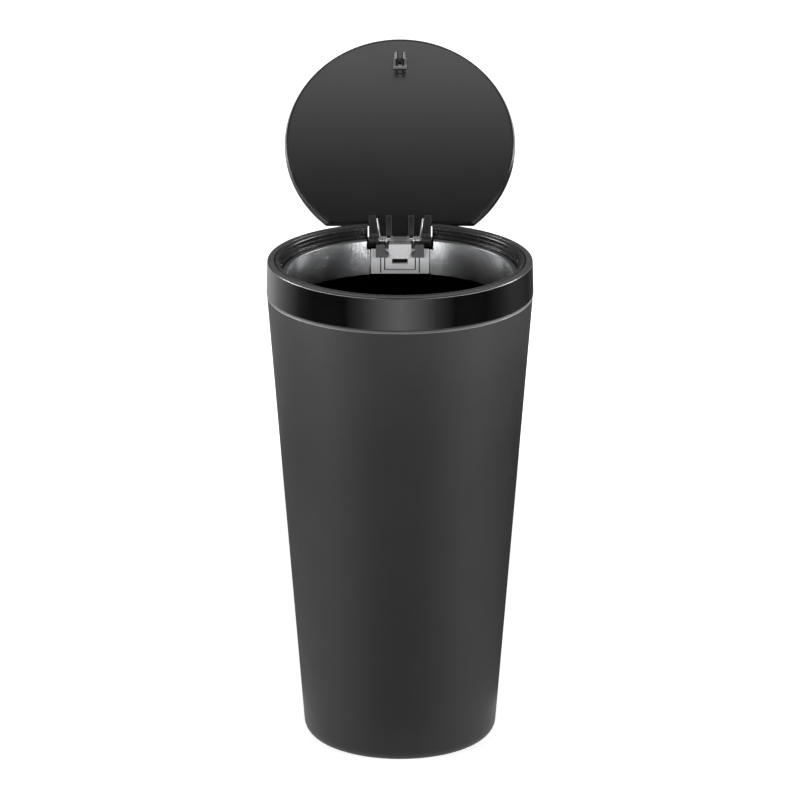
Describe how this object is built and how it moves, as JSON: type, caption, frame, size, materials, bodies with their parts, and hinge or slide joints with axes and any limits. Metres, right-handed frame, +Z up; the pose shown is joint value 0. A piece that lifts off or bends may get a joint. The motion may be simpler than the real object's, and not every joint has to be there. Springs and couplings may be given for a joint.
{
  "type": "car trash bin",
  "caption": "Tapered bin for a cup holder with a sprung flip lid, a push-push latch and a plated ring that clamps a liner bag.",
  "frame": {"origin": "centre of the flat underside, on the barrel's axis", "axes": "+Z up along the barrel's axis, -Y towards the front (latch side), +Y towards the hinge, +X along the hinge pin"},
  "size_m": [0.0906, 0.1372, 0.2234],
  "materials": {
    "barrel_charcoal": "matte fine texture",
    "collar_black": "gloss",
    "seat_black": "gloss",
    "liner_plated": "satin plated",
    "bracket_steel": "bright pressed sheet",
    "block_black": "satin moulded",
    "screw_steel": "zinc plated",
    "pin_steel": "ground",
    "spring_steel": "drawn wire",
    "latch_black": "satin moulded",
    "slider_grey": "self-lubricating plastic",
    "cover_black": "gloss",
    "panel_black": "satin",
    "striker_grey": "gloss"
  },
  "bodies": {
    "bin": {"barrel": "barrel_charcoal", "collar": "collar_black", "seat_ring": "seat_black", "liner_ring": "liner_plated", "hinge_bracket": "bracket_steel", "spring_block_left": "block_black", "spring_block_right": "block_black", "bracket_screws": "screw_steel", "hinge_pin": "pin_steel", "pin_sleeve": "block_black", "torsion_spring_left": "spring_steel", "torsion_spring_right": "spring_steel", "latch_housing": "latch_black", "latch_cover": "latch_black", "latch_screws": "screw_steel", "latch_spring": "spring_steel", "latch_pin": "pin_steel"},
    "lid": {"lid_cover": "cover_black", "lid_panel": "panel_black", "striker": "striker_grey", "striker_screw": "screw_steel"},
    "slider": {"latch_slider": "slider_grey"}
  },
  "joints": [
    {"name": "lid_hinge", "type": "hinge", "parent": "bin", "child": "lid", "pos_m": [0, 0.038, 0.1655], "axis": [1, 0, 0], "range_deg": [0, 130.5], "stiffness_Nm_per_rad": 0.006, "springref_deg": -45.84, "deforming": ["torsion_spring_left", "torsion_spring_right"]},
    {"name": "latch_press", "type": "slide", "parent": "bin", "child": "slider", "axis": [0, 0, -1], "range_m": [0, 0.0035], "stiffness_N_per_m": 60, "springref_m": -0.002, "deforming": ["latch_spring"]}
  ]
}
